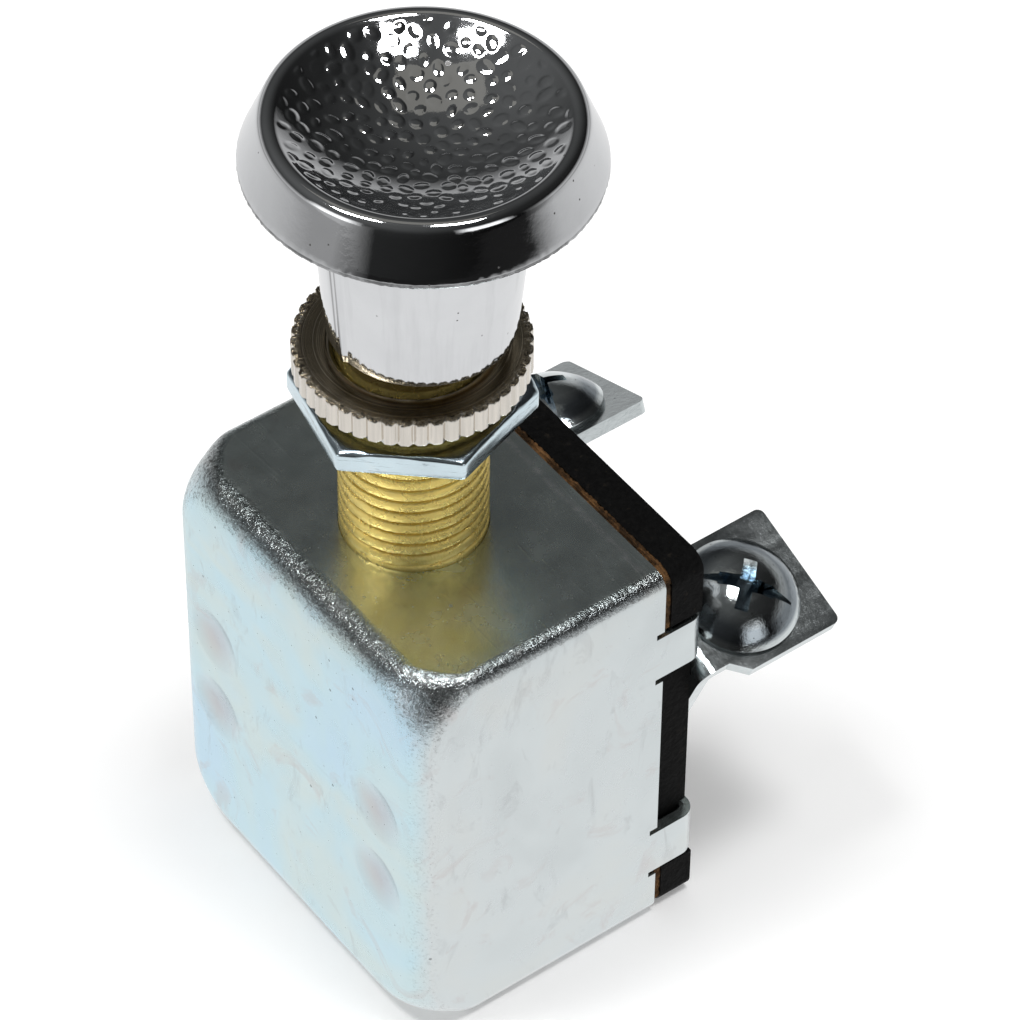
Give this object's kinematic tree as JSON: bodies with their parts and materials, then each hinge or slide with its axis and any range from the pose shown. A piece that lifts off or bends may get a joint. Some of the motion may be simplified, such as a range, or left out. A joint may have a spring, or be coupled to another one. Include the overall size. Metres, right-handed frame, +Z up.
{
  "type": "push-pull panel switch",
  "caption": "Push-pull electrical panel switch: plated box case with a threaded brass stem, chrome mushroom knob, clamping nuts and splayed screw terminals.",
  "frame": {"origin": "on the stem's axis at the case's top face", "axes": "+Z up the stem toward the knob, -Y out of the dented front, +Y toward the terminals"},
  "size_m": [0.0392, 0.0449, 0.0889],
  "materials": {
    "case_zinc": "zinc plated, satin",
    "stem_brass": "machined",
    "hex_zinc": "zinc plated",
    "ring_nickel": "nickel plated, turned",
    "knob_chrome": "bright plated",
    "insert_brass": "machined",
    "shaft_steel": "ground",
    "spring_steel": "drawn",
    "carriage_phenolic": "moulded",
    "washer_steel": "plain",
    "bridge_copper": "rolled",
    "ball_steel": "polished",
    "sheet_fibre": "pressed fibre",
    "board_black": "moulded",
    "terminal_zinc": "zinc plated, dull",
    "rivet_brass": "headed",
    "screw_zinc": "zinc plated, bright"
  },
  "bodies": {
    "housing": {"case": "case_zinc", "mounting_bushing": "stem_brass", "insulator_sheet": "sheet_fibre", "terminal_board": "board_black", "terminal_left": "terminal_zinc", "terminal_right": "terminal_zinc", "contact_rivet_left": "rivet_brass", "contact_rivet_right": "rivet_brass", "terminal_screw_left": "screw_zinc", "terminal_screw_right": "screw_zinc"},
    "plunger": {"knob": "knob_chrome", "knob_insert": "insert_brass", "plunger_shaft": "shaft_steel", "stop_ring": "spring_steel", "carriage": "carriage_phenolic", "carriage_washer": "washer_steel", "contact_bridge": "bridge_copper", "contact_spring_left": "spring_steel", "contact_spring_right": "spring_steel", "detent_ball_left": "ball_steel", "detent_ball_right": "ball_steel"},
    "ring_nut": {"ring_nut": "ring_nickel"},
    "hex_nut": {"hex_nut": "hex_zinc"}
  },
  "joints": [
    {"name": "plunger_slide", "type": "slide", "parent": "housing", "child": "plunger", "axis": [0, 0, 1], "range_m": [0, 0.0086]},
    {"name": "ring_nut_turn", "type": "hinge", "parent": "housing", "child": "ring_nut", "pos_m": [0, 0, 0.0197], "axis": [0, 0, 1], "continuous": true},
    {"name": "hex_nut_turn", "type": "hinge", "parent": "housing", "child": "hex_nut", "pos_m": [0, 0, 0.01525], "axis": [0, 0, 1], "continuous": true}
  ]
}
